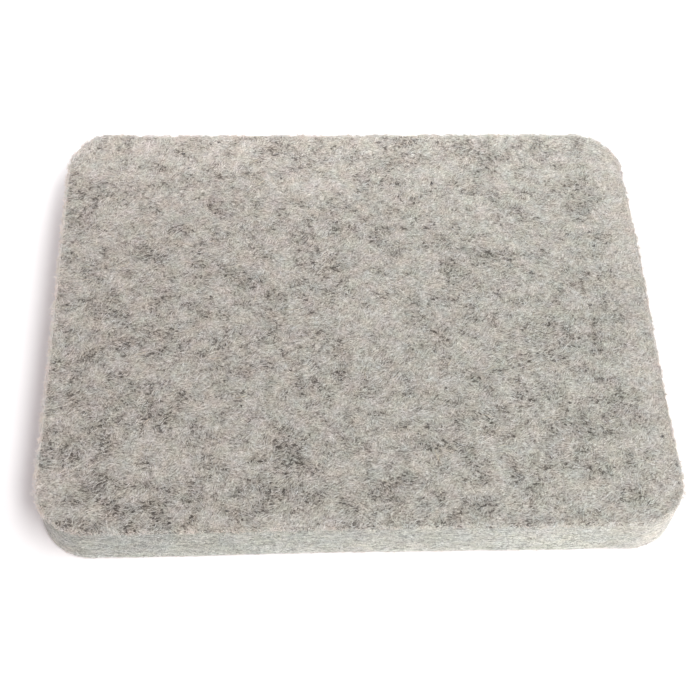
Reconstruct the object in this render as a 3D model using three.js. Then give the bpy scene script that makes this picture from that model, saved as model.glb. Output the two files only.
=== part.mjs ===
// Needle felting mat: a thick, springy slab of heathered wool felt with rounded corners.
// Carded wool plies lie face to face and are needled together into the one slab.
// Millimetres, +Z up. The origin is the centre of the underside and X runs along the long side.

import * as THREE from "three";

// Plan of the slab
const MAT_LENGTH = 254;
const MAT_DEPTH = 200;
const CORNER_RADIUS = 21;

// Build-up through the thickness, with the hairline left where two plies meet
const CORE_PLY_COUNT = 6;
const FACE_PLY_THICKNESS = 2.9;
const CORE_PLY_THICKNESS = 2.9;
const PLY_CLEARANCE = 0.05;

// Softened edges: the rubbed rim of the two outer faces, and the rim of a ply inside the stack
const FACE_RIM_RADIUS = 1.2;
const INNER_RIM_RADIUS = 0.3;

// Straight steps that stand for a quarter turn of each rounding
const CORNER_STEPS = 10;
const FACE_RIM_STEPS = 4;
const INNER_RIM_STEPS = 2;

// Wool: the outer faces are a warmer grey than the cut edge
const FACE_WOOL = "#afaaa2";
const CUT_EDGE_WOOL = "#c4c3bc";
const FELT_ROUGHNESS = 0.95;

const QUARTER_TURN = Math.PI / 2;
const CORNER_SIGNS = [[1, 1], [-1, 1], [-1, -1], [1, -1]];
const FACE_RIM = { radius: FACE_RIM_RADIUS, steps: FACE_RIM_STEPS };
const INNER_RIM = { radius: INNER_RIM_RADIUS, steps: INNER_RIM_STEPS };

// The plan outline drawn in by an inset, as points that run counter-clockwise.
function planOutline(inset) {
  const centreX = MAT_LENGTH / 2 - CORNER_RADIUS;
  const centreY = MAT_DEPTH / 2 - CORNER_RADIUS;
  const radius = CORNER_RADIUS - inset;
  const points = [];
  CORNER_SIGNS.forEach(([signX, signY], corner) => {
    for (let step = 0; step <= CORNER_STEPS; step++) {
      const angle = (corner + step / CORNER_STEPS) * QUARTER_TURN;
      const x = signX * centreX + radius * Math.cos(angle);
      const y = signY * centreY + radius * Math.sin(angle);
      points.push(new THREE.Vector2(x, y));
    }
  });
  return points;
}

// A quarter round from the flat face out to the side: each level has an inset and its depth under the face.
function rimLevels({ radius, steps }) {
  const levels = [];
  for (let step = 0; step <= steps; step++) {
    const angle = (step / steps) * QUARTER_TURN;
    levels.push({ inset: radius * (1 - Math.sin(angle)), depth: radius * (1 - Math.cos(angle)) });
  }
  return levels;
}

// One closed ply standing on z = 0: plan outlines stacked from the lower rim to the upper rim.
function plyGeometry(thickness, lowerRim, upperRim) {
  const lower = rimLevels(lowerRim).map(({ inset, depth }) => ({ inset, height: depth }));
  const upper = rimLevels(upperRim).map(({ inset, depth }) => ({ inset, height: thickness - depth }));
  const levels = [...lower, ...upper.reverse()];
  const outlines = levels.map(({ inset }) => planOutline(inset));
  const ringSize = outlines[0].length;
  const positions = [];
  outlines.forEach((outline, level) => {
    outline.forEach((point) => positions.push(point.x, point.y, levels[level].height));
  });

  const triangles = [];
  for (let level = 0; level < levels.length - 1; level++) {
    for (let i = 0; i < ringSize; i++) {
      const below = level * ringSize + i;
      const belowNext = level * ringSize + ((i + 1) % ringSize);
      triangles.push(below, belowNext, belowNext + ringSize);
      triangles.push(below, belowNext + ringSize, below + ringSize);
    }
  }

  const topRing = (levels.length - 1) * ringSize;
  THREE.ShapeUtils.triangulateShape(outlines[0], []).forEach(([a, b, c]) => {
    triangles.push(a, c, b);
    triangles.push(topRing + a, topRing + b, topRing + c);
  });

  const geometry = new THREE.BufferGeometry();
  geometry.setAttribute("position", new THREE.Float32BufferAttribute(positions, 3));
  geometry.setIndex(triangles);
  geometry.computeVertexNormals();
  return geometry;
}

function felt(color) {
  return new THREE.MeshStandardMaterial({ color, roughness: FELT_ROUGHNESS, metalness: 0 });
}

// The ply that lies on the table, with its lower rim rubbed round
function bottomFacePly() {
  const ply = new THREE.Mesh(plyGeometry(FACE_PLY_THICKNESS, FACE_RIM, INNER_RIM), felt(FACE_WOOL));
  ply.name = "bottom_face_ply";
  return ply;
}

// A ply inside the stack, counted from the bottom, whose edge shows on the cut sides
function corePly(number) {
  const ply = new THREE.Mesh(plyGeometry(CORE_PLY_THICKNESS, INNER_RIM, INNER_RIM), felt(CUT_EDGE_WOOL));
  ply.name = `core_ply_${number}`;
  ply.position.z = FACE_PLY_THICKNESS + PLY_CLEARANCE + (number - 1) * (CORE_PLY_THICKNESS + PLY_CLEARANCE);
  return ply;
}

// The ply that takes the needle, with its upper rim rubbed round
function topFacePly() {
  const ply = new THREE.Mesh(plyGeometry(FACE_PLY_THICKNESS, INNER_RIM, FACE_RIM), felt(FACE_WOOL));
  ply.name = "top_face_ply";
  ply.position.z = FACE_PLY_THICKNESS + PLY_CLEARANCE + CORE_PLY_COUNT * (CORE_PLY_THICKNESS + PLY_CLEARANCE);
  return ply;
}

const mat = new THREE.Group();
mat.name = "needle_felting_mat";
mat.add(bottomFacePly());
for (let number = 1; number <= CORE_PLY_COUNT; number++) {
  mat.add(corePly(number));
}
mat.add(topFacePly());

export default mat;
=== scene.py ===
import math
from typing import NamedTuple

import bpy
import numpy as np
from mathutils import Matrix, Vector


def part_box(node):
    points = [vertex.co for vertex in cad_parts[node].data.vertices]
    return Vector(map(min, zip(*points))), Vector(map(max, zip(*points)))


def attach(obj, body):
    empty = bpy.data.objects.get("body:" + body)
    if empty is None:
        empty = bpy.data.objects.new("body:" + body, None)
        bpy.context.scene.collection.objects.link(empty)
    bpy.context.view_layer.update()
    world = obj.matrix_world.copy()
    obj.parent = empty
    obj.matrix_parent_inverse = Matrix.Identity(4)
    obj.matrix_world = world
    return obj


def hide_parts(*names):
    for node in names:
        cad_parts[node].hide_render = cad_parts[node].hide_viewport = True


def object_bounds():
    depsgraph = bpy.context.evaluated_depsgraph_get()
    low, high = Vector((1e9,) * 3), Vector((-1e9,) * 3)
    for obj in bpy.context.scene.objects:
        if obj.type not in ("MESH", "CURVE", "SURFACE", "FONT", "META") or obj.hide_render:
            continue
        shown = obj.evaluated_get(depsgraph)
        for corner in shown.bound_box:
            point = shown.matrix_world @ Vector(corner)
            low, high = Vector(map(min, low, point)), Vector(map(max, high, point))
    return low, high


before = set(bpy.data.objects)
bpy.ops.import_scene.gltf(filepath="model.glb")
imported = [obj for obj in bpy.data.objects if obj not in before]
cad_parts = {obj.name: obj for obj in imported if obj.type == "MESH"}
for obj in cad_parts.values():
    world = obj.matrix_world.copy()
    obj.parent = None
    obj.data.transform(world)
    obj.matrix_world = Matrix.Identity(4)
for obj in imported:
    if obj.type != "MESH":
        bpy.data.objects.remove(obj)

cad_box = [[float(value) for value in corner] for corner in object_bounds()]
scene = bpy.context.scene

# Sizes are in metres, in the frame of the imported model, unless they are said to be in millimetres.
MM = 0.001
UP = 1
DOWN = -1
QUARTER_TURN = math.pi / 2

# Plan of the slab, read from the frame, and the roundings of its edges
LENGTH = cad_box[1][0] - cad_box[0][0]
DEPTH = cad_box[1][1] - cad_box[0][1]
TOP = cad_box[1][2]
FACE_HEIGHTS = {UP: TOP, DOWN: 0.0}
CORNER_RADIUS = 21 * MM
RIM_RADIUS = 1.2 * MM
HALF_X = LENGTH / 2 - CORNER_RADIUS
HALF_Y = DEPTH / 2 - CORNER_RADIUS

# Mesh density of the felt surface
FACE_STEP = 0.8 * MM
SIDE_ROWS = 6
RIM_ROWS = 5


def srgb(red, green, blue):
    """A colour given in 0 to 255 screen values, as the linear colour that shaders take."""
    values = np.array([red, green, blue]) / 255
    linear = np.where(values <= 0.04045, values / 12.92, ((values + 0.055) / 1.055) ** 2.4)
    return (*linear.tolist(), 1.0)


def tones(*stops):
    """Colours from dark to pale, each with a place from 0 to 1 and three screen values."""
    return [(place, srgb(*colour)) for place, *colour in stops]


# The outline of the slab

CORNER_SIGNS = np.array([(-1, -1), (1, -1), (1, 1), (-1, 1)])
CORNER_CENTRES = CORNER_SIGNS * (HALF_X, HALF_Y)
STRAIGHTS = 2 * np.array([HALF_X, HALF_Y, HALF_X, HALF_Y])
QUARTERS = STRAIGHTS + CORNER_RADIUS * QUARTER_TURN
PERIMETER = QUARTERS.sum()


def outline_at(distance):
    """Points and outward directions round the outline, counter-clockwise from the front left."""
    distance = distance % PERIMETER
    ends = np.cumsum(QUARTERS)
    quarter = np.searchsorted(ends, distance, side="right") % len(QUARTERS)
    into = distance - (ends - QUARTERS)[quarter]
    along = np.minimum(into, STRAIGHTS[quarter])
    heading = quarter * QUARTER_TURN
    turned = heading - QUARTER_TURN + (into - along) / CORNER_RADIUS
    forward = np.stack([np.cos(heading), np.sin(heading)], -1)
    out = np.stack([np.cos(turned), np.sin(turned)], -1)
    return CORNER_CENTRES[quarter] + along[..., None] * forward + CORNER_RADIUS * out, out


def outline_inset(plan):
    """How far inside the outline a plan point lies; below 0 outside it."""
    over = np.abs(plan) - (HALF_X, HALF_Y)
    outside = np.linalg.norm(np.maximum(over, 0), axis=-1)
    return CORNER_RADIUS - outside - np.minimum(over.max(axis=-1), 0)


def raised(plan, height):
    """Points or directions in the plan, given a height."""
    return np.concatenate([plan, np.broadcast_to(height, plan.shape[:-1])[..., None]], -1)


# The rounding of the rim is followed to this share of its radius, short of where it falls straight.
RIM_FOLLOWED = 0.95


def rim_drop(inset):
    """How far a face has curved away at an inset from the edge, where its rim is rounded."""
    short = np.clip(1 - inset / RIM_RADIUS, 0, RIM_FOLLOWED)
    return RIM_RADIUS * (1 - np.sqrt(1 - short ** 2))


class Plan:
    """A grid of quads over the rounded rectangle, with a quarter disc of cells in each corner."""

    def __init__(self, step):
        corner_cells = round(CORNER_RADIUS / step)
        lines_x = self.axis(HALF_X, corner_cells, step)
        lines_y = self.axis(HALF_Y, corner_cells, step)
        base_x, base_y = np.meshgrid(lines_x[:, 0], lines_y[:, 0])
        out_x, out_y = np.meshgrid(lines_x[:, 1], lines_y[:, 1])
        reach = np.maximum(np.abs(out_x), np.abs(out_y))
        lesser = np.minimum(np.abs(out_x), np.abs(out_y))
        angle = math.pi / 4 * lesser / np.where(reach > 0, reach, 1)
        along, across = reach * np.cos(angle), reach * np.sin(angle)
        x_leads = np.abs(out_x) >= np.abs(out_y)
        self.base = np.stack([base_x, base_y], -1).reshape(-1, 2)
        self.out = np.stack([np.sign(out_x) * np.where(x_leads, along, across),
                             np.sign(out_y) * np.where(x_leads, across, along)], -1).reshape(-1, 2)
        self.grid = np.arange(base_x.size).reshape(base_x.shape)
        self.loop = self.boundary()

    @staticmethod
    def axis(half, corner_cells, step):
        """Lines along an axis: where each starts, and how far it is into the corner's radius."""
        middle = np.linspace(-half, half, round(2 * half / step) + 1)
        corner = np.arange(1, corner_cells + 1) / corner_cells
        start = np.concatenate([np.full(corner_cells, -half), middle, np.full(corner_cells, half)])
        out = np.concatenate([-corner[::-1], np.zeros(len(middle)), corner])
        return np.stack([start, out], -1)

    def boundary(self):
        """Numbers of the grid points round the outline, counter-clockwise."""
        grid = self.grid
        return np.concatenate([grid[0, :-1], grid[:-1, -1], grid[-1, :0:-1], grid[:0:-1, 0]])

    def points(self, inset):
        """The plan points of the grid when the outline is drawn in by an inset."""
        return self.base + (CORNER_RADIUS - inset) * self.out

    def quads(self):
        """The four grid points of each quad, counter-clockwise seen from above."""
        grid = self.grid
        corners = [grid[:-1, :-1], grid[:-1, 1:], grid[1:, 1:], grid[1:, :-1]]
        return np.stack(corners, -1).reshape(-1, 4)


PLAN = Plan(FACE_STEP)


# Relief of the felt

class Field:
    """Smooth random values from -1 to 1 in space, with about one bump per wavelength."""

    CELLS = 64

    def __init__(self, seed):
        self.table = np.random.default_rng(seed).uniform(-1, 1, (self.CELLS,) * 3)

    def at(self, points, wavelength):
        scaled = np.asarray(points, float) / wavelength
        cell = np.floor(scaled).astype(int)
        part = scaled - cell
        part = part * part * (3 - 2 * part)
        total = np.zeros(len(scaled))
        for dx, dy, dz in np.ndindex(2, 2, 2):
            corner = (cell + (dx, dy, dz)) % self.CELLS
            weight = np.abs(1 - dx - part[:, 0])
            weight = weight * np.abs(1 - dy - part[:, 1]) * np.abs(1 - dz - part[:, 2])
            total += weight * self.table[corner[:, 0], corner[:, 1], corner[:, 2]]
        return total


class Bumps(NamedTuple):
    """Bumps of one size in the felt, and how far they stand in or out."""
    field: Field
    size: float | np.ndarray
    height: float

    def at(self, points):
        return self.height * self.field.at(points, self.size)


SWELL = Bumps(Field(11), 45 * MM, 0.25 * MM)
LUMPS = Bumps(Field(12), 6 * MM, 0.10 * MM)
GRAIN = Bumps(Field(13), 1.9 * MM, 0.09 * MM)
LAYERS = Bumps(Field(14), np.array([5.0, 5.0, 0.9]) * MM, 0.10 * MM)
TUFTS = Bumps(Field(16), 2.2 * MM, 0.15 * MM)

# The rim of an outer face is tufted, and its look fades into that of the cut edge: within these
# depths down the side, and within this inset on the face, where a share of it is left at the rim.
# On the face this paler look is partly the cut edge over the rim, and partly painted rim light.
UPPER_FADE = 3.2 * MM
LOWER_FADE = 0.5 * MM
FACE_FADE = 1.2 * MM
RIM_SHARE = 0.65

# Hands have worn most of the pale fuzz off the front rim, and ever less of it round its corners.
# On the face, most of the painted rim light is left off along the front too, within the worn depth.
WORN_SHARE = 0.8
WORN_DEPTH = 6 * MM
WORN_ROUND = 30 * MM


def below_rim(height):
    """0 at the height of an outer face, 1 where the side is below the rim."""
    return np.clip(np.minimum(height / LOWER_FADE, (TOP - height) / UPPER_FADE), 0, 1)


def cut_edge_and_rim_light(points):
    """0 on an outer face, 1 where the felt has the look of the cut edge. Near its edge a face takes
    part of that paler look, partly for the cut edge over the rim and partly as painted rim light.
    """
    on_face = RIM_SHARE * np.exp(-np.maximum(outline_inset(points[:, :2]), 0) / FACE_FADE)
    worn = WORN_SHARE * np.clip((-DEPTH / 2 + WORN_DEPTH - points[:, 1]) / WORN_DEPTH, 0, 1)
    # The painted rim light on the face is mostly left off along the front.
    return np.maximum(below_rim(points[:, 2]), on_face * (1 - worn))


# Painted light and shade on the cut edge: painted shade makes it greyer under the upper rim, and
# painted light from the white ground makes it paler at its foot, but less so towards the right.
# Along the mat it is painted darker towards the left end and paler towards the right, where more
# light falls, with a painted dip in it just before the right corner. Each pair has heights, or
# places along the mat, in millimetres, and the tones or shares there.
PAINTED_SHADE_UNDER_RIM = (18, 21, 24), (0.0, -0.04, -0.07)
PAINTED_FOOT_LIGHT = (0, 2, 5, 11), (0.26, 0.20, 0.08, 0.0)
PAINTED_FOOT_SHARE = (20, 70), (1.0, 0.3)
PAINTED_SLOPE_LIGHT = (-70, 70, 92, 106, 115), (-0.033, 0.05, 0.045, -0.02, 0.02)

# Painted wash of light: towards the right end, where strong light falls, the cut edge is smoother:
# places in millimetres, and how much grain is left
WASHED_BY_LIGHT = (80, 112), (1.0, 0.6)


def painted_edge_light(points):
    """How much painted light or shade the cut edge has at a point."""
    along, _, height = points.T / MM
    foot = np.interp(height, *PAINTED_FOOT_LIGHT) * np.interp(along, *PAINTED_FOOT_SHARE)
    return np.interp(height, *PAINTED_SHADE_UNDER_RIM) + foot + np.interp(along, *PAINTED_SLOPE_LIGHT)


# The underside is pressed flat on the table where it would stand out further than this.
PRESSED = -0.1 * MM


def on_table(points):
    """Points of the felt with none of them lower than the table presses them."""
    points[..., 2] = np.maximum(points[..., 2], PRESSED)
    return points


# Where the blade strayed from the plan: the place, the reach, and how far out it cut at the bottom
# and at the top, in millimetres
STRAYS = (
    ((121, -94), 13, 1.6, 1.1),
    ((127, 25), 28, 0.7, 0.7),
    ((127, -48), 16, -0.6, -0.6),
    ((-15, -100), 30, -0.6, -0.6),
    ((75, -100), 26, 0.4, 0.4),
    ((-121, 94), 13, 0.6, 0.6),
    ((-111, 99), 7, 1.0, 1.0),
)


def stray_cut(points):
    """How far out of the plan the side was cut."""
    total = np.zeros(len(points))
    for place, reach, at_bottom, at_top in STRAYS:
        away = np.linalg.norm(points[:, :2] / MM - place, axis=1) / reach
        amount = at_bottom + (at_top - at_bottom) * points[:, 2] / TOP
        total += amount * MM * np.exp(-away ** 2)
    return total


def face_relief(points):
    """Relief of the two outer faces."""
    return SWELL.at(points) + LUMPS.at(points) + GRAIN.at(points)


def side_relief(points):
    """Relief of the cut sides, drawn out along the plies."""
    tufted = TUFTS.at(points) * (1 - below_rim(points[:, 2]))
    return stray_cut(points) + SWELL.at(points) + LUMPS.at(points) + LAYERS.at(points) + tufted


# The blend of the wool

HEATHER = Field(15)

# Sizes of its patches, how much each size counts, and how far they are drawn out along each axis
HEATHER_PATCHES = ((22 * MM, 0.3), (10 * MM, 0.45), (5 * MM, 0.95), (2.5 * MM, 1.15))
HEATHER_DRAWN = np.array([1.2, 1.0, 1.0])

# The blend is more uneven towards the front: places in millimetres, and how much more
UNEVEN = (-100, -30), (1.25, 1.0)

# Carding breaks up the darkest clumps: blends before and after it
CARDED = (-1.5, -0.4, 2.0), (-1.0, -0.4, 2.0)

# Painted light: a paler band along the right edge, for the glow of the white backdrop there. Pale
# fibres also crowd in it, and dark ones thin out.
PAINTED_GLOW_PLACE = 122 * MM
PAINTED_GLOW_WIDTH = 7 * MM
PAINTED_GLOW_SHARE = 0.45


def heather_and_glow(points):
    """How the wool is blended, with the painted glow along the right edge added: above 0 where pale
    fibres crowd, below 0 where dark ones do.
    """
    drawn = points / HEATHER_DRAWN
    total = sum(share * HEATHER.at(drawn + size, size) for size, share in HEATHER_PATCHES)
    total /= math.sqrt(sum(share ** 2 for _, share in HEATHER_PATCHES))
    total *= np.interp(points[:, 1] / MM, *UNEVEN)
    total = np.interp(total, *CARDED)
    # Adds the painted glow: a paler band along the right edge.
    return total + PAINTED_GLOW_SHARE * np.exp(-((points[:, 0] - PAINTED_GLOW_PLACE) / PAINTED_GLOW_WIDTH) ** 2)


# Meshes

def new_object(name, vertices, faces, corner_uv, material):
    """A smooth-shaded mesh object, with the map that its colours are baked through."""
    mesh = bpy.data.meshes.new(name)
    mesh.from_pydata(vertices.tolist(), [], faces)
    uv_map = mesh.uv_layers.new(name="OFBake")
    uv_map.data.foreach_set("uv", np.asarray(corner_uv, np.float32).ravel())
    mesh.polygons.foreach_set("use_smooth", np.ones(len(mesh.polygons), bool))
    mesh.materials.append(material)
    mesh.update()
    obj = bpy.data.objects.new(name, mesh)
    scene.collection.objects.link(obj)
    return obj


def write_values(obj, name, values):
    """One number for each point of a mesh, which its material reads by name."""
    attribute = obj.data.attributes.new(name, "FLOAT", "POINT")
    attribute.data.foreach_set("value", np.asarray(values, np.float32))


class MeshParts:
    """The points, faces and map corners of one mesh, gathered part by part."""

    def __init__(self):
        self.points = []
        self.faces = []
        self.corner_uv = []
        self.count = 0

    def add_points(self, points):
        """Takes points in and gives their numbers."""
        self.points.append(points)
        self.count += len(points)
        return np.arange(self.count - len(points), self.count)

    def add_faces(self, faces, corner_uv):
        self.faces += faces.tolist()
        self.corner_uv.append(corner_uv)

    def build(self, name, material):
        """The mesh as an object, with the values that the felt reads at each point."""
        points = np.concatenate(self.points)
        obj = new_object(name, points, self.faces, np.concatenate(self.corner_uv), material)
        # The look of the cut edge, with the painted rim light along the edges of the faces
        write_values(obj, "cut_edge_and_rim_light", cut_edge_and_rim_light(points))
        # The painted light and shade of the cut edge, which its material adds to the tone
        write_values(obj, "painted_edge_light", painted_edge_light(points))
        # The blend of the wool, with the painted glow along the right edge
        write_values(obj, "heather_and_glow", heather_and_glow(points))
        return obj


class Level(NamedTuple):
    """One row of points on a side: how far it is drawn in, and how far the normal points out."""
    height: float
    inset: float = 0.0
    outness: float = 1.0


def rim_profile(face_height, side_height):
    """Levels of a quarter round from an outer face to the side."""
    direction = UP if side_height > face_height else DOWN
    levels = []
    for angle in np.linspace(0, QUARTER_TURN, RIM_ROWS + 1):
        inset = RIM_RADIUS * (1 - math.sin(angle))
        sink = RIM_RADIUS * (1 - math.cos(angle))
        levels.append(Level(face_height + direction * sink, inset, math.sin(angle)))
    return levels


# Map of a ply in the unit square: the face takes the lower part of it, and the side lies above in
# strips, each with a margin. A face inside the stack gets a small patch.
MAP_MARGIN = 0.01
MAP_WIDTH = 0.98
FACE_PART = 0.8
SIDE_PART = 0.95
STRIPS = 4
STRIP_MARGIN = 0.05
STRIP_WIDTH = 0.9
HIDDEN_PLACES = {UP: (0.02, 0.96), DOWN: (0.1, 0.96)}
HIDDEN_WIDTH = 0.03


def plan_uv(plan, start, width):
    """Map of plan points in a square of the given start and width."""
    return start + width * (plan + (LENGTH / 2, DEPTH / 2)) / LENGTH


class Ply:
    """One felt ply between two heights. An outer one has a rounded rim and a fine face."""

    def __init__(self, low, high, outer_below, outer_above):
        self.outer_below = outer_below
        self.outer_above = outer_above
        lower = rim_profile(low, high) if outer_below else [Level(low)]
        upper = rim_profile(high, low)[::-1] if outer_above else [Level(high)]
        heights = np.linspace(lower[-1].height, upper[0].height, SIDE_ROWS + 1)[1:-1]
        self.levels = [*lower, *map(Level, heights), *upper]

    def build(self, name, material):
        parts = MeshParts()
        rings = [self.ring(level) for level in self.levels]
        numbers = [parts.add_points(ring) for ring in rings]
        for row, (low, high) in enumerate(zip(numbers, numbers[1:])):
            quads = np.stack([low, np.roll(low, -1), np.roll(high, -1), high], -1)
            parts.add_faces(quads, self.strip_uv(row))
        for outer, end, facing in ((self.outer_below, 0, DOWN), (self.outer_above, -1, UP)):
            if outer:
                self.add_fine_face(parts, self.levels[end].height, rings[end], numbers[end], facing)
            else:
                hidden_uv = plan_uv(rings[end][::facing, :2], HIDDEN_PLACES[facing], HIDDEN_WIDTH)
                parts.add_faces(numbers[end][None, ::facing], hidden_uv)
        return parts.build(name, material)

    def ring(self, level):
        """Points round the outline at one level, pushed in and out by the relief of the felt."""
        plan = PLAN.points(level.inset)[PLAN.loop]
        out = PLAN.out[PLAN.loop]
        points = raised(plan, level.height)
        upward = self.facing(level) * math.sqrt(1 - level.outness ** 2)
        normal = raised(out * level.outness, upward)
        relief = level.outness * side_relief(points) + (1 - level.outness) * face_relief(points)
        return on_table(points + normal * relief[:, None])

    def facing(self, level):
        """Up for the levels of the upper rim, down for those of the lower one."""
        middle = (self.levels[0].height + self.levels[-1].height) / 2
        return UP if level.height > middle else DOWN

    def add_fine_face(self, parts, height, ring, ring_numbers, facing):
        """Closes an outer face with a fine grid, whose border is a ring of the side."""
        grid = raised(PLAN.points(RIM_RADIUS), height)
        grid[:, 2] += facing * face_relief(grid)
        grid = on_table(grid)
        grid[PLAN.loop] = ring
        inner = np.setdiff1d(np.arange(len(grid)), PLAN.loop)
        numbers = np.zeros(len(grid), int)
        numbers[PLAN.loop] = ring_numbers
        numbers[inner] = parts.add_points(grid[inner])
        quads = PLAN.quads()[:, ::facing]
        face_uv = plan_uv(grid[quads][..., :2].reshape(-1, 2), MAP_MARGIN, MAP_WIDTH)
        parts.add_faces(numbers[quads], face_uv)

    def strip_uv(self, row):
        """Map of the quads between two levels, in strips one above the other."""
        bottom = FACE_PART if self.outer_below or self.outer_above else 0.0
        strip_height = (SIDE_PART - bottom) / STRIPS
        columns = len(PLAN.loop)
        per_strip = math.ceil(columns / STRIPS)
        column = np.arange(columns)
        strip = column // per_strip
        left = MAP_MARGIN + MAP_WIDTH * (column % per_strip) / per_strip
        right = left + MAP_WIDTH / per_strip
        rows = len(self.levels) - 1
        low = bottom + strip_height * (strip + STRIP_MARGIN + STRIP_WIDTH * row / rows)
        high = low + strip_height * STRIP_WIDTH / rows
        return np.stack([left, low, right, low, right, high, left, high], -1).reshape(-1, 2)


# Fibres

FIBRE_TAPER = (0.8, 1.0, 0.8)
FIBRE_SIDES = 3
FIBRE_POINTS = len(FIBRE_TAPER) + 2
FIBRE_LAST = 1 + len(FIBRE_TAPER) * FIBRE_SIDES

# Each fibre has its own cell in the map, with a margin.
CELL_MARGIN = 0.12
CELL_WIDTH = 0.76


def fibre_pattern():
    """Faces of one fibre, from tip to tip over rings of points, and the map of their corners."""
    last = FIBRE_POINTS - 1
    faces = []
    corner_uv = []
    for side in range(FIBRE_SIDES):
        for row in range(last):
            face = {}
            for end, turn in ((row, 0), (row + 1, 0), (row + 1, 1), (row, 1)):
                if end in (0, last):
                    number, turn = (FIBRE_LAST if end else 0), 0.5
                else:
                    number = 1 + (end - 1) * FIBRE_SIDES + (side + turn) % FIBRE_SIDES
                face[number] = (end / last, (side + turn) / FIBRE_SIDES)
            faces.append(tuple(face))
            corner_uv += face.values()
    return faces, np.array(corner_uv)


def add_fibres(name, material, centre, normal, radius, tone):
    """Many thin tapered fibres as one piece, each along its own row of centre points."""
    count = len(centre)
    tangent = np.gradient(centre, axis=1)
    tangent /= np.linalg.norm(tangent, axis=2, keepdims=True)
    side = np.cross(tangent, normal)
    side /= np.linalg.norm(side, axis=2, keepdims=True)
    lift = np.cross(side, tangent)
    parts = [centre[:, :1]]
    for ring, taper in enumerate(FIBRE_TAPER, start=1):
        for corner in range(FIBRE_SIDES):
            angle = QUARTER_TURN + 2 * math.pi * corner / FIBRE_SIDES
            offset = math.cos(angle) * side[:, ring] + math.sin(angle) * lift[:, ring]
            parts.append((centre[:, ring] + offset * (taper * radius)[:, None])[:, None])
    parts.append(centre[:, -1:])
    vertices = np.concatenate(parts, axis=1)
    size = vertices.shape[1]
    pattern, pattern_uv = fibre_pattern()
    faces = [tuple(index + start for index in face)
             for start in range(0, count * size, size) for face in pattern]
    cells = math.ceil(math.sqrt(count))
    cell = np.stack([np.arange(count) % cells, np.arange(count) // cells], -1)
    corner_uv = (cell[:, None] + CELL_MARGIN + CELL_WIDTH * pattern_uv[None]) / cells
    piece = new_object(name, vertices.reshape(-1, 3), faces, corner_uv.reshape(-1, 2), material)
    write_values(piece, "tone", np.repeat(tone, size))
    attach(piece, "root")


class Blend(NamedTuple):
    """Loose fibres of one colour: how many, their sizes in millimetres, and where they crowd."""
    count: int
    length: tuple
    width: tuple
    lift: tuple
    share: float = 1.0
    crowd: float = 0.0
    sink: float = 0.0


# Bends of the paths of fibres on a face and on the cut sides, and their wavering, in radians
FACE_BEND = 0.6
SIDE_BEND = 0.5
WAVER = 0.15

# A fibre lies on the felt with its middle raised and its ends caught in it.
LIFT_SHAPE = np.array([-0.9, 0.6, 1.0, 0.5, -0.9])
LIFT_SHARES = (0.4, 1)

# Some fibres are left even where their colour is rarest.
LEAST_SHARE = 0.02

# Many more fibres are tried than are kept.
FACE_TRIES = 8
EDGE_TRIES = 2
SIDE_TRIES = 4

# How far fibres reach over the edge of a face, and how far inside it those along it lie, on average
OVERHANG = 0.45 * MM
EDGE_REACH = 0.6 * MM

# Knots of tangled fibres on the top, and how wide they spread
NEP_SPOTS = 50
NEP_SPREAD = 0.4 * MM

# Fibres on a face lie mostly along the mat, in swirls: their headings turn from place to place,
# with some scatter. Those on the cut sides lie along the plies. The turns are in radians.
COMB = Field(17)
COMB_HEADING = 0.30
COMB_SIZE = 14 * MM
COMB_TURN = 1.9
COMB_SCATTER = 0.42
SIDE_TURN = 0.28

# Those on the sides end this far from the faces, in millimetres.
SIDE_MARGIN = (0.2, 1.6)

# The fuzz of the rim: how far it leans along the edge and where on the quarter round it stands, in
# radians; how much it droops; the mean and spread of its rise, in radians; and how its length
# varies from tuft to tuft
RIM_LEAN = (0.1, 1.1)
RIM_ANGLE = (0.2, 1.4)
RIM_DROOP = (0, 0.5)
RIM_RISE = (0.25, 0.25)
TUFT_MIDDLE = 0.65
TUFT_SWING = 0.9
TUFT_RANGE = (0.2, 1.3)


def wander(random, length, turn, spread):
    """Paths in a plane about their middles: a heading, a steady bend and some wavering."""
    count = len(length)
    steps = FIBRE_POINTS - 1
    bend = random.normal(0, spread, (count, 1)) * (np.arange(steps) - (steps - 1) / 2)
    heading = turn[:, None] + bend / steps + random.normal(0, WAVER, (count, steps))
    move = np.stack([np.cos(heading), np.sin(heading)], -1) * (length / steps)[:, None, None]
    path = np.concatenate([np.zeros((count, 1, 2)), np.cumsum(move, axis=1)], axis=1)
    return path - path.mean(axis=1, keepdims=True)


def crowded(random, points, blend):
    """Which random points to keep: more where the wool is pale, or dark if crowd is below 0.
    The painted glow along the right edge counts as pale.
    """
    share = np.clip(blend.share + blend.crowd * heather_and_glow(points), LEAST_SHARE, 1)
    return random.uniform(0, 1, len(points)) < share


def risen(random, blend, count):
    """How far each point of each fibre stands off the felt."""
    lift = random.uniform(*blend.lift, (count, 1)) * MM
    return lift * LIFT_SHAPE * random.uniform(*LIFT_SHARES, (count, FIBRE_POINTS)) - blend.sink * MM


def round_the_edge(random, size):
    """Random distances round the outline, few of them along the worn front."""
    front = 2 * HALF_X
    distance = random.uniform(-WORN_ROUND, PERIMETER - WORN_ROUND, size)
    places = (-WORN_ROUND, 0, front, front + WORN_ROUND)
    worn = np.interp(distance, places, (0, WORN_SHARE, WORN_SHARE, 0))
    elsewhere = random.uniform(front + WORN_ROUND, PERIMETER - WORN_ROUND, size)
    return np.where(random.uniform(0, 1, size) < worn, elsewhere, distance)


def combed(random, middle):
    """The heading of each fibre, from where its middle lies."""
    swirl = COMB.at(raised(middle, 0), COMB_SIZE)
    return COMB_HEADING + COMB_TURN * swirl + random.normal(0, COMB_SCATTER, len(middle))


# Each of these functions gives the centre points of its fibres, and the normals there.

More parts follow.
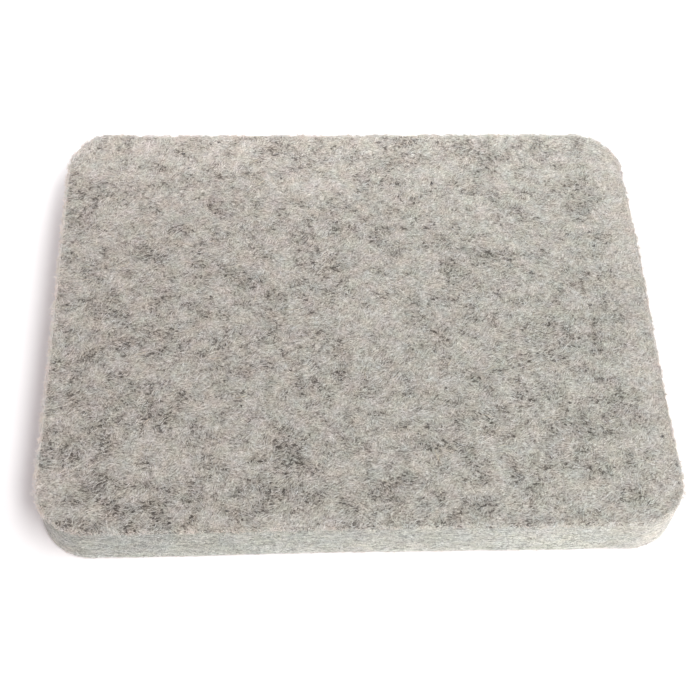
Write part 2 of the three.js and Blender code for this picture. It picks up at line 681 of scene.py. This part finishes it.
def laid_on_face(random, blend, facing, middle):
    """Fibres of a blend laid about their middles on an outer face."""
    length = random.uniform(*blend.length, len(middle)) * MM
    path = middle[:, None] + wander(random, length, combed(random, middle), FACE_BEND)
    overhang = random.exponential(OVERHANG, len(path))
    path = path[(outline_inset(path) > -overhang[:, None]).all(axis=1)][:blend.count]
    points = raised(path, FACE_HEIGHTS[facing])
    relief = face_relief(points.reshape(-1, 3)).reshape(path.shape[:2])
    stand = relief + risen(random, blend, len(path)) - rim_drop(outline_inset(path))
    points[..., 2] += facing * stand
    return on_table(points), raised(np.zeros_like(path), facing)


def face_fibres(random, blend, facing):
    """Fibres that lie on an outer face."""
    tries = blend.count * FACE_TRIES
    level = (0, 0, FACE_HEIGHTS[facing])
    middle = random.uniform(-0.5, 0.5, (tries, 3)) * (LENGTH, DEPTH, 0) + level
    middle = middle[crowded(random, middle, blend), :2]
    return laid_on_face(random, blend, facing, middle)


def edge_fibres(random, blend, facing):
    """Fibres that lie on an outer face close to its edge."""
    plan, out = outline_at(round_the_edge(random, blend.count * EDGE_TRIES))
    middle = plan - out * random.exponential(EDGE_REACH, (len(plan), 1))
    return laid_on_face(random, blend, facing, middle)


def nep_fibres(random, blend, facing):
    """Short fibres that are tangled into small knots here and there."""
    knots = random.uniform(-0.5, 0.5, (NEP_SPOTS, 2)) * (LENGTH, DEPTH)
    chosen = random.integers(0, NEP_SPOTS, blend.count)
    middle = knots[chosen] + random.normal(0, NEP_SPREAD, (blend.count, 2))
    return laid_on_face(random, blend, facing, middle)


def side_fibres(random, blend):
    """Fibres that lie along the cut sides."""
    tries = blend.count * SIDE_TRIES
    middle = random.uniform(0, 1, (tries, 2)) * (PERIMETER, TOP)
    length = random.uniform(*blend.length, tries) * MM
    path = middle[:, None] + wander(random, length, random.normal(0, SIDE_TURN, tries), SIDE_BEND)
    height = path[..., 1]
    margin = random.uniform(*SIDE_MARGIN, (tries, 1)) * MM
    path = path[((height > margin) & (height < TOP - margin)).all(axis=1)]
    plan, out = outline_at(path[..., 0])
    points = raised(plan, path[..., 1])
    middle = points[:, FIBRE_POINTS // 2]
    # Fewer fibres towards the right end, for the painted wash of light there
    left_over = np.interp(middle[:, 0] / MM, *WASHED_BY_LIGHT)
    kept = crowded(random, middle, blend) & (random.uniform(0, 1, len(middle)) < left_over)
    chosen = np.flatnonzero(kept)[:blend.count]
    points = points[chosen]
    normal = raised(out, 0)[chosen]
    relief = side_relief(points.reshape(-1, 3)).reshape(points.shape[:2])
    rounding = rim_drop(points[..., 2]) + rim_drop(TOP - points[..., 2])
    stand = relief - rounding + risen(random, blend, len(points))
    return points + normal * stand[..., None], normal


def rim_surface(plan, out, angle, facing):
    """Points on the quarter round of a rim, their normals, and the relief of the felt there."""
    outward = np.sin(angle)
    normal = raised(out * outward[..., None], facing * np.cos(angle))
    centre_height = TOP - RIM_RADIUS if facing == UP else RIM_RADIUS
    surface = raised(plan - RIM_RADIUS * out, centre_height) + RIM_RADIUS * normal
    listed = surface.reshape(-1, 3)
    relief = outward * side_relief(listed).reshape(outward.shape)
    relief += (1 - outward) * face_relief(listed).reshape(outward.shape)
    return surface, normal, relief


def rim_fibres(random, blend, facing):
    """Short fuzz that stands out sideways from the rim of an outer face."""
    column = (blend.count, 1)
    share = np.linspace(0, 1, FIBRE_POINTS)
    length = random.uniform(*blend.length, column) * MM
    lean = random.uniform(*RIM_LEAN, column)
    sideways = random.choice([-1, 1], column) * length * np.sin(lean) * share
    droop = random.uniform(*RIM_DROOP, column)
    root = round_the_edge(random, column) if facing == UP else random.uniform(0, PERIMETER, column)
    plan, out = outline_at(root + sideways)
    tuft = TUFTS.field.at(raised(plan[:, 0], 0), TUFTS.size / 2)
    tufted = np.clip(TUFT_MIDDLE + TUFT_SWING * tuft, *TUFT_RANGE)[:, None]
    stand = tufted * length * np.cos(lean) * (share - droop * share ** 2)

    angle = random.uniform(*RIM_ANGLE, column) * np.ones(FIBRE_POINTS)
    surface, normal, relief = rim_surface(plan, out, angle, facing)
    sunk = random.uniform(*blend.lift, column) * MM
    rise = random.normal(*RIM_RISE, column)
    away = raised(out * np.cos(rise)[..., None], np.sin(rise))
    points = on_table(surface + normal * (relief - sunk)[..., None] + away * stand[..., None])
    along = raised(out[..., ::-1] * (-1, 1), 0)
    return points, np.cross(np.gradient(points, axis=1), along)


# Node materials

# Wool is matte, with a soft sheen.
SPECULAR = 0.15
SHEEN_ROUGHNESS = 0.6
FELT_SHEEN = 0.12
WOOL_SHEEN = 0.15
WOOL_ROUGHNESS = 0.7
BUMP_STRENGTH = 0.6
BUMP_DEPTH = 0.3 * MM

# How far the strands turn from cell to cell, in radians
STRAND_TURN = 2.8


class Graph:
    """Short calls that build the nodes of one material or world."""

    def __init__(self, owner):
        self.owner = owner
        owner.use_nodes = True
        self.tree = owner.node_tree
        self.tree.nodes.clear()

    def node(self, kind, settings=None, **inputs):
        node = self.tree.nodes.new(f"ShaderNode{kind}")
        for key, value in (settings or {}).items():
            setattr(node, key, value)
        for key, value in inputs.items():
            self.feed(node.inputs[key.replace("_", " ")], value)
        return node

    def feed(self, socket, value):
        if isinstance(value, bpy.types.NodeSocket):
            self.tree.links.new(value, socket)
        else:
            socket.default_value = value

    def attribute(self, name):
        """A number that is written at each point of the mesh."""
        return self.node("Attribute", {"attribute_name": name}).outputs["Fac"]

    def math(self, operation, first, second=0.0):
        node = self.node("Math", {"operation": operation})
        self.feed(node.inputs[0], first)
        self.feed(node.inputs[1], second)
        return node.outputs[0]

    def weighted(self, start, *terms):
        """A sum: start plus each value, less its middle of 0.5, times its weight."""
        total = start
        for value, weight in terms:
            part = self.math("MULTIPLY", self.math("SUBTRACT", value, 0.5), weight)
            total = self.math("ADD", total, part)
        return total

    def ramp(self, value, low, high, to_low=0.0, to_high=1.0):
        """A value from low to high, taken smoothly to another range and held at its ends."""
        node = self.node("MapRange", {"interpolation_type": "SMOOTHSTEP"}, Value=value,
                         From_Min=low, From_Max=high, To_Min=to_low, To_Max=to_high)
        return node.outputs["Result"]

    def colours(self, value, stops):
        node = self.node("ValToRGB", Fac=value)
        elements = node.color_ramp.elements
        while len(elements) < len(stops):
            elements.new(0.5)
        for element, (place, colour) in zip(elements, stops):
            element.position = place
            element.color = colour
        return node.outputs["Color"]

    def mix(self, share, first, second, blend="MIX"):
        """Two colours mixed. Sockets for colours come after those for numbers and vectors."""
        node = self.node("Mix", {"data_type": "RGBA", "blend_type": blend})
        self.feed(node.inputs[0], share)
        self.feed(node.inputs[6], first)
        self.feed(node.inputs[7], second)
        return node.outputs[2]

    def vector(self, operation, first, second=(0, 0, 0), scale=1.0, output="Vector"):
        """An operation on vectors. The fourth socket is for a scale."""
        node = self.node("VectorMath", {"operation": operation})
        self.feed(node.inputs[0], first)
        self.feed(node.inputs[1], second)
        self.feed(node.inputs[3], scale)
        return node.outputs[output]

    def place(self):
        """Where a point lies on the mat, in millimetres."""
        where = self.node("TexCoord").outputs["Object"]
        return self.vector("SCALE", where, scale=1 / MM)

    def along(self, where):
        """How far along the mat a place is."""
        return self.node("SeparateXYZ", Vector=where).outputs["X"]

    def noise(self, where, size, detail=2.0, roughness=0.5):
        return self.node("TexNoise", Vector=where, Scale=1 / size, Detail=detail,
                         Roughness=roughness).outputs["Fac"]

    def drawn_out(self, where, size, detail=1.5):
        """Noise whose bumps have another size along each axis."""
        drawn = self.node("Mapping", {"vector_type": "TEXTURE"}, Vector=where, Scale=size)
        return self.noise(drawn.outputs[0], 1.0, detail)

    def bend(self, where, size, distance):
        """The place moved about by a slow noise, so that what is drawn there curves."""
        drift = self.node("TexNoise", Vector=where, Scale=1 / size, Detail=1.0)
        centred = self.vector("SUBTRACT", drift.outputs["Color"], (0.5, 0.5, 0.5))
        return self.vector("ADD", where, self.vector("SCALE", centred, scale=2 * distance))

    def strands(self, where, cell, length, width):
        """Short streaks in the plane of the mat, mostly along it, turned anew in each cell."""
        flat = self.vector("MULTIPLY", where, (1, 1, 0))
        cells = self.node("TexVoronoi", Vector=flat, Scale=1 / cell)
        turn = self.weighted(-COMB_HEADING, (cells.outputs["Color"], STRAND_TURN))
        turned = self.node("VectorRotate", {"rotation_type": "Z_AXIS"}, Vector=flat,
                           Center=cells.outputs["Position"], Angle=turn)
        return self.drawn_out(turned.outputs[0], (length, width, 1.0))

    def wool_shader(self, colour, roughness, sheen):
        shader = self.node("BsdfPrincipled", Base_Color=colour, Roughness=roughness,
                           Sheen_Weight=sheen, Sheen_Roughness=SHEEN_ROUGHNESS)
        shader.inputs["Specular IOR Level"].default_value = SPECULAR
        return shader

    def surface(self, shader):
        self.node("OutputMaterial", Surface=shader.outputs[0])
        return self.owner


def new_graph(name):
    return Graph(bpy.data.materials.new(name))


FACE_TONES = tones((0, 82, 77, 72), (0.3, 138, 133, 126), (0.5, 170, 165, 157),
                   (0.72, 197, 193, 185), (1, 226, 222, 215))
EDGE_TONES = tones((0, 115, 115, 110), (0.35, 171, 171, 165), (0.55, 201, 201, 194),
                   (1, 239, 239, 232))
PINKISH = (1.044, 0.977, 0.981, 1.0)
GREENISH = (0.970, 1.020, 1.014, 1.0)
YELLOWISH = (1.006, 1.0, 0.968, 1.0)
BLUISH = (0.994, 1.0, 1.028, 1.0)

# Noises of the hue: the size in millimetres, detail and roughness of each, and how much they count
PINK_NOISE = (8.0, 3.0, 0.68)
YELLOW_NOISE = (8.0, 3.0, 0.72)
YELLOW_SHIFT = (70, 30, 0)
FACE_PINK = 2.2
EDGE_PINK = 1.3
YELLOW = 3.9

# Over a face the hue goes from pinkish to greenish in this direction, within so many millimetres.
DRIFT_DIRECTION = (0.95, -0.3, 0.0)
DRIFT_REACH = 130
DRIFT_SHARE = 0.18

# Close to the right edge the faces are pinkish again, and so is the cut edge at both ends:
# places in millimetres
FACE_BLUSH = (108, 128)
EDGE_BLUSH = (90, 122)
BLUSH_SHARE = 0.22


def face_pink(g, where):
    """The hue of the faces from pinkish at 0 to greenish at 1."""
    across = g.vector("DOT_PRODUCT", where, DRIFT_DIRECTION, output="Value")
    drift = g.ramp(across, -DRIFT_REACH, DRIFT_REACH, 0.5 - DRIFT_SHARE, 0.5 + DRIFT_SHARE)
    drift = g.math("SUBTRACT", drift, g.ramp(g.along(where), *FACE_BLUSH, 0.0, BLUSH_SHARE))
    return g.weighted(drift, (g.noise(where, *PINK_NOISE), FACE_PINK))


def edge_pink(g, where):
    """The hue of the cut edge from pinkish at 0 to greenish at 1."""
    away = g.math("ABSOLUTE", g.along(where))
    drift = g.ramp(away, *EDGE_BLUSH, 0.5, 0.5 - BLUSH_SHARE)
    return g.weighted(drift, (g.noise(where, *PINK_NOISE), EDGE_PINK))


def tinted(g, colour, where, pink):
    """A colour varied a little between pinkish and greenish, and between yellowish and bluish."""
    first = pink(g, where)
    second = g.weighted(0.5, (g.noise(g.vector("ADD", where, YELLOW_SHIFT), *YELLOW_NOISE), YELLOW))
    colour = g.mix(1.0, colour, g.mix(first, PINKISH, GREENISH), "MULTIPLY")
    return g.mix(1.0, colour, g.mix(second, YELLOWISH, BLUISH), "MULTIPLY")


# Patterns of the felt in millimetres: a noise has its size, detail and maybe roughness; strands
# have their cell, length and width; lines, streaks and bands have a size along each axis.
BEND_SIZE = 6.0
BEND_REACH = 1.2
PATCHES_DRAWN = (0.8, 1.1, 1.0)
PATCH_NOISE = (1.8, 3.0, 0.7)
SPECK_NOISE = (1.2, 1.0)
FACE_GRAIN = (0.7, 1.0)
LONG_STRANDS = (3.4, 3.2, 0.5)
SHORT_STRANDS = (2.0, 1.8, 0.45)
STRAND_SHIFT = (31, 17, 0)
LINES = (1.7, 1.7, 0.36)
STREAKS = (6, 6, 0.45)
BANDS = (9, 9, 1.6)
FINE_DETAIL = 2.0
EDGE_GRAIN = (0.55, 1.0)
WOOL_NOISE = (2.5, 2.0)

# Blends of the wool between which clumps and dark specks come in, and noises that make a speck
CLUMP_BLENDS = (-0.2, -0.9)
SPECK_BLENDS = (0.3, -0.6)
SPECK_NOISES = (0.54, 0.68)

# Tones of the face and of the cut edge, and how much each pattern counts in them
FACE_TONE = 0.49
FACE_PATCHES_WEIGHT = 0.6
STRANDS_WEIGHT = 1.0
FACE_GRAIN_WEIGHT = 0.7
BLEND_WEIGHT = 0.12
CLUMPS_WEIGHT = 0.10
SPECKS_WEIGHT = 0.48
EDGE_TONE = 0.41
LINES_WEIGHT = 1.1
STREAKS_WEIGHT = 1.0
BANDS_WEIGHT = 0.25
EDGE_GRAIN_WEIGHT = 1.7
EDGE_PATCHES_WEIGHT = 0.2
WOOL_WEIGHT = 0.35

# The border between face and cut edge is ragged: the size, detail and weight of its noises, and
# how wide it blurs
RAGGED_NOISES = ((1.0, 1.0, 0.8), (4.0, 1.0, 0.6))
RAGGED_BLUR = (0.15, 0.75)

# How much strands and grain count in the height of the felt, and how the grain sets its roughness
STRANDS_HEIGHT = 0.6
GRAIN_HEIGHT = 0.5
ROUGH_GRAIN = (0.2, 0.8)
FELT_ROUGHNESS = (0.86, 1.0)


def clumped(g, tone, drawn):
    """The tone of a face with the blend of its wool and the painted glow along the right edge:
    darker in clumps, with specks in them.
    """
    blend = g.attribute("heather_and_glow")
    specks = g.ramp(g.noise(drawn, *SPECK_NOISE), *SPECK_NOISES)
    specks = g.math("MULTIPLY", specks, g.ramp(blend, *SPECK_BLENDS))
    tone = g.math("ADD", tone, g.math("MULTIPLY", blend, BLEND_WEIGHT))
    tone = g.math("SUBTRACT", tone, g.math("MULTIPLY", g.ramp(blend, *CLUMP_BLENDS), CLUMPS_WEIGHT))
    return g.math("SUBTRACT", tone, g.math("MULTIPLY", specks, SPECKS_WEIGHT))


def layered(g, where, curved, patches, tone):
    """The tone of the cut edge, with its lines, streaks and bands along the plies, and painted
    light.
    """
    streaked = g.weighted(0.0, (g.drawn_out(curved, LINES, FINE_DETAIL), LINES_WEIGHT),
                          (g.drawn_out(curved, STREAKS, FINE_DETAIL), STREAKS_WEIGHT),
                          (g.drawn_out(where, BANDS), BANDS_WEIGHT),
                          (g.noise(where, *EDGE_GRAIN), EDGE_GRAIN_WEIGHT),
                          (patches, EDGE_PATCHES_WEIGHT))
    # Painted wash of light: less grain towards the right end, where strong light falls.
    places, shares = WASHED_BY_LIGHT
    streaked = g.math("MULTIPLY", streaked, g.ramp(g.along(where), *places, *shares))
    # Adds the painted shade under the rim, the painted light at the foot and the painted light along
    # the mat.
    return g.math("ADD", g.math("ADD", streaked, tone), g.attribute("painted_edge_light"))


def felt(name, tone_shift=0.0):
    """Heathered wool felt: mottled and streaked on its faces, layered on its cut edge."""
    g = new_graph(name)
    where = g.place()
    curved = g.bend(where, BEND_SIZE, BEND_REACH)
    drawn = g.vector("MULTIPLY", curved, PATCHES_DRAWN)
    patches = g.noise(drawn, *PATCH_NOISE)
    grain = g.noise(where, *FACE_GRAIN)
    long_strands = g.strands(where, *LONG_STRANDS)
    short_strands = g.strands(g.vector("ADD", where, STRAND_SHIFT), *SHORT_STRANDS)

    tone = g.weighted(FACE_TONE + tone_shift, (patches, FACE_PATCHES_WEIGHT),
                      (long_strands, STRANDS_WEIGHT), (short_strands, STRANDS_WEIGHT),
                      (grain, FACE_GRAIN_WEIGHT))
    face = tinted(g, g.colours(clumped(g, tone, drawn), FACE_TONES), where, face_pink)
    edge_tone = layered(g, where, curved, patches, EDGE_TONE + tone_shift)
    edge = tinted(g, g.colours(edge_tone, EDGE_TONES), where, edge_pink)

    # The cut edge's look, with the painted rim light along the faces' edges, mixed in along a ragged
    # border.
    noises = [(g.noise(where, size, detail), weight) for size, detail, weight in RAGGED_NOISES]
    ragged = g.weighted(g.attribute("cut_edge_and_rim_light"), *noises)
    colour = g.mix(g.ramp(ragged, *RAGGED_BLUR), face, edge)
    shader = g.wool_shader(colour, g.ramp(grain, *ROUGH_GRAIN, *FELT_ROUGHNESS), FELT_SHEEN)
    height = g.weighted(0.5, (long_strands, STRANDS_HEIGHT), (short_strands, STRANDS_HEIGHT),
                        (grain, GRAIN_HEIGHT))
    bump = g.node("Bump", Strength=BUMP_STRENGTH, Distance=BUMP_DEPTH, Height=height)
    g.feed(shader.inputs["Normal"], bump.outputs[0])
    return g.surface(shader)


def wool(name, stops, pink):
    """Loose wool fibres of one blend, each with its own tone."""
    g = new_graph(name)
    where = g.place()
    tone = g.weighted(g.attribute("tone"), (g.noise(where, *WOOL_NOISE), WOOL_WEIGHT))
    colour = tinted(g, g.colours(tone, stops), where, pink)
    return g.surface(g.wool_shader(colour, WOOL_ROUGHNESS, WOOL_SHEEN))


# Camera, as fitted to the photographed outline

CAMERA_PLACE = Vector((-0.02909, -0.29774, 0.46486))
CAMERA_PITCH = math.radians(57.604)
CAMERA_YAW = math.radians(5.425)
CAMERA_ROLL = math.radians(3.883)
CAMERA_LENS = 64.40
SENSOR_WIDTH = 36


def add_camera():
    forward = Vector((math.sin(CAMERA_YAW) * math.cos(CAMERA_PITCH),
                      math.cos(CAMERA_YAW) * math.cos(CAMERA_PITCH),
                      -math.sin(CAMERA_PITCH)))
    right = Vector((math.cos(CAMERA_YAW), -math.sin(CAMERA_YAW), 0))
    up = right.cross(forward)
    rolled_right = math.cos(CAMERA_ROLL) * right + math.sin(CAMERA_ROLL) * up
    rolled_up = -math.sin(CAMERA_ROLL) * right + math.cos(CAMERA_ROLL) * up
    data = bpy.data.cameras.new("camera")
    data.lens = CAMERA_LENS
    data.sensor_width = SENSOR_WIDTH
    camera = bpy.data.objects.new("camera", data)
    turned = Matrix((rolled_right, rolled_up, -forward)).transposed()
    camera.matrix_world = Matrix.Translation(CAMERA_PLACE) @ turned.to_4x4()
    scene.collection.objects.link(camera)
    scene.camera = camera


# Lights and ground

AMBIENT = 0.26

# The ground lies just under the mat, and its glow grows between these distances from the middle.
GROUND_COLOUR = (0.92, 0.92, 0.92, 1)
GLOW_COLOUR = (1, 0.79, 0.85, 1)
NEAR_GLOW = 0.16
FAR_GLOW = 1.0
NEAR_GROUND = 0.25
FAR_GROUND = 0.60
GROUND_REACH = 3.0
GROUND_HEIGHT = -0.3 * MM


def add_lamp(name, place, width, height, power, aim=(0, 0, 0), colour=(1, 1, 1)):
    """An oval soft lamp turned to a point: width and height in metres, power in watts."""
    data = bpy.data.lights.new(name, "AREA")
    data.shape = "ELLIPSE"
    data.size = width
    data.size_y = height
    data.energy = power
    data.color = colour
    lamp = bpy.data.objects.new(name, data)
    lamp.location = place
    lamp.rotation_euler = (Vector(aim) - Vector(place)).to_track_quat("-Z", "Y").to_euler()
    scene.collection.objects.link(lamp)


def add_lamps():
    add_lamp("key_front", (0.54, -0.90, 1.40), 0.60, 0.60, 13.65)
    add_lamp("key_back", (0.54, -0.26, 1.40), 0.60, 0.60, 9.04)
    add_lamp("back", (0.03, 0.21, 0.14), 0.4, 0.08, 0.15)
    add_lamp("back_edge", (0.0, 0.14, 0.08), 0.4, 0.03, 0.085, aim=(0.0, 0.14, 0.0))
    add_lamp("side", (0.31, -0.34, 0.06), 0.15, 0.15, 0.66, colour=(1.0, 0.965, 0.92))
    add_lamp("fill", (-0.55, 0.0, 0.012), 0.15, 0.020, 0.86, colour=(1.0, 0.92, 0.95))


def seen_directly(g):
    """1 for what the camera sees straight, mirrored or through glass, 0 for light on the object."""
    path = g.node("LightPath").outputs
    seen = g.math("MAXIMUM", path["Is Camera Ray"], path["Is Glossy Ray"])
    return g.math("MAXIMUM", seen, path["Is Transmission Ray"])


def add_world():
    """A world that is white where the camera sees it, and dimmer as light on the object."""
    scene.world = bpy.data.worlds.new("studio")
    g = Graph(scene.world)
    strength = g.ramp(seen_directly(g), 0.0, 1.0, AMBIENT, 1.0)
    background = g.node("Background", Color=(1, 1, 1, 1), Strength=strength)
    g.node("OutputWorld", Surface=background.outputs[0])


def pale_ground():
    """A ground that keeps the shadow near the mat, and glows to white where the camera sees it."""
    g = new_graph("pale_ground")
    where = g.node("TexCoord").outputs["Object"]
    away = g.vector("LENGTH", where, output="Value")
    lift = g.ramp(away, NEAR_GROUND, FAR_GROUND, NEAR_GLOW, FAR_GLOW)
    strength = g.math("MULTIPLY", seen_directly(g), lift)
    matte = g.node("BsdfDiffuse", Color=GROUND_COLOUR)
    glow = g.node("Emission", Color=GLOW_COLOUR, Strength=strength)
    both = g.node("AddShader")
    g.feed(both.inputs[0], matte.outputs[0])
    g.feed(both.inputs[1], glow.outputs[0])
    return g.surface(both)


def add_floor():
    mesh = bpy.data.meshes.new("floor")
    corners = [(x, y, GROUND_HEIGHT) for x, y in (CORNER_SIGNS * GROUND_REACH).tolist()]
    mesh.from_pydata(corners, [], [(0, 1, 2, 3)])
    mesh.materials.append(pale_ground())
    floor = bpy.data.objects.new("floor", mesh)
    scene.collection.objects.link(floor)


# The plies of the mat

# Plies inside the stack are laid lengthwise and crosswise in turn, and differ a little in tone.
PLY_TONE = 0.02


def add_plies():
    nodes = sorted(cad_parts, key=lambda node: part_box(node)[0][2])
    boxes = [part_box(node) for node in nodes]
    seams = [(below[1][2] + above[0][2]) / 2 for below, above in zip(boxes, boxes[1:])]
    heights = [boxes[0][0][2], *seams, boxes[-1][1][2]]
    face_felt = felt("face_felt")
    core_felts = [felt("core_felt_lengthwise", PLY_TONE), felt("core_felt_crosswise", -PLY_TONE)]
    for number, node in enumerate(nodes):
        outer_below = number == 0
        outer_above = number == len(nodes) - 1
        outer = outer_below or outer_above
        ply = Ply(heights[number], heights[number + 1], outer_below, outer_above)
        piece = ply.build(f"felt_{node}", face_felt if outer else core_felts[number % 2])
        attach(piece, "root")
        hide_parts(node)


# The loose fibres

FACE_WOOLS = {
    "white": tones((0, 190, 187, 182), (0.4, 212, 209, 204), (0.7, 218, 216, 210),
                   (1, 242, 240, 236)),
    "pale": tones((0, 158, 154, 147), (0.4, 184, 179, 172), (0.7, 188, 184, 177),
                  (1, 208, 204, 197)),
    "grey": tones((0, 114, 109, 103), (0.4, 140, 134, 127), (0.7, 144, 139, 132),
                  (1, 168, 163, 155)),
    "dark": tones((0, 58, 54, 52), (0.5, 86, 80, 75), (1, 114, 108, 101)),
    "bright": tones((0, 215, 213, 209), (0.5, 232, 231, 227), (1, 249, 248, 246)),
    "fuzz": tones((0, 216, 208, 200), (0.5, 233, 226, 218), (1, 249, 244, 238)),
    "kemp": tones((0, 216, 200, 172), (0.3, 232, 226, 214), (1, 248, 246, 242)),
    "nep": tones((0, 40, 44, 58), (0.5, 66, 62, 62), (1, 104, 92, 80)),
}
CUT_WOOLS = {
    "cut_white": tones((0, 189, 189, 183), (0.5, 213, 213, 207), (1, 241, 241, 236)),
    "cut_pale": tones((0, 158, 158, 152), (0.5, 184, 184, 177), (1, 208, 208, 201)),
    "cut_grey": tones((0, 114, 113, 108), (0.5, 141, 140, 134), (1, 168, 167, 160)),
}

TOP_BLENDS = {
    "dark": Blend(10800, (0.5, 1.8), (0.15, 0.32), (0, 0.06), share=0.19, crowd=-0.95, sink=0.06),
    "grey": Blend(9500, (0.8, 2.6), (0.14, 0.26), (0, 0.08), share=0.42, crowd=-0.6, sink=0.05),
    "pale": Blend(10800, (1.2, 4.2), (0.12, 0.21), (0, 0.16), share=0.5, crowd=0.15),
    "white": Blend(10800, (1.2, 4.2), (0.12, 0.22), (0.04, 0.22), share=0.5, crowd=0.2),
    "bright": Blend(10000, (1, 3.8), (0.12, 0.23), (0.08, 0.26), share=0.5, crowd=0.15),
    "kemp": Blend(260, (5, 12), (0.13, 0.22), (0.15, 0.35)),
}
NEP_BLENDS = {"nep": Blend(700, (0.5, 1.3), (0.14, 0.26), (0, 0.15))}
BOTTOM_BLENDS = {
    "grey": Blend(8000, (0.8, 2.6), (0.14, 0.28), (0, 0.06), share=0.5, crowd=-0.6),
    "white": Blend(8000, (2, 6.5), (0.10, 0.20), (0, 0.08), share=0.5, crowd=0.2),
}
SIDE_BLENDS = {
    "cut_grey": Blend(6000, (0.5, 1.8), (0.12, 0.22), (0, 0.08), share=0.4, crowd=-0.5),
    "cut_pale": Blend(4500, (1.2, 4.5), (0.10, 0.20), (0, 0.12), share=0.5),
    "cut_white": Blend(8000, (1, 4.5), (0.09, 0.18), (0, 0.16), share=0.5, crowd=0.2),
}
TOP_EDGE_BLENDS = {"fuzz": Blend(5000, (0.8, 2.2), (0.09, 0.18), (0.04, 0.22))}
UPPER_RIM_BLENDS = {
    "bright": Blend(11000, (0.6, 1.9), (0.11, 0.20), (0.03, 0.12)),
    "fuzz": Blend(11000, (1, 3.4), (0.09, 0.18), (0.05, 0.15)),
}
LOWER_RIM_BLENDS = {"fuzz": Blend(7000, (0.4, 1.1), (0.09, 0.17), (0.05, 0.15))}

# Where the fibres are, their slot, how they lie and which way they face, and their blends
LOOSE_FIBRES = (
    ("top", "face_felt", face_fibres, (UP,), TOP_BLENDS),
    ("top", "face_felt", nep_fibres, (UP,), NEP_BLENDS),
    ("bottom", "face_felt", face_fibres, (DOWN,), BOTTOM_BLENDS),
    ("side", "core_felt", side_fibres, (), SIDE_BLENDS),
    ("top_edge", "face_felt", edge_fibres, (UP,), TOP_EDGE_BLENDS),
    ("upper_rim", "face_felt", rim_fibres, (UP,), UPPER_RIM_BLENDS),
    ("lower_rim", "face_felt", rim_fibres, (DOWN,), LOWER_RIM_BLENDS),
)
FIBRE_SEED = 21
FIBRE_TONES = (0.1, 0.9)


def add_loose_fibres():
    random = np.random.default_rng(FIBRE_SEED)
    wools = {}
    for palette, pink in ((FACE_WOOLS, face_pink), (CUT_WOOLS, edge_pink)):
        for colour, stops in palette.items():
            wools[colour] = wool(f"{colour}_wool", stops, pink)
    for place, slot, lay, facing, blends in LOOSE_FIBRES:
        for colour, blend in blends.items():
            centre, normal = lay(random, blend, *facing)
            radius = random.uniform(*blend.width, len(centre)) * MM / 2
            tone = random.uniform(*FIBRE_TONES, len(centre))
            name = f"{place}_{colour}_fibres"
            add_fibres(name, wools[colour], centre, normal, radius, tone)


scene.view_settings.view_transform = "Standard"
add_camera()
add_world()
add_lamps()
add_floor()
add_plies()
add_loose_fibres()
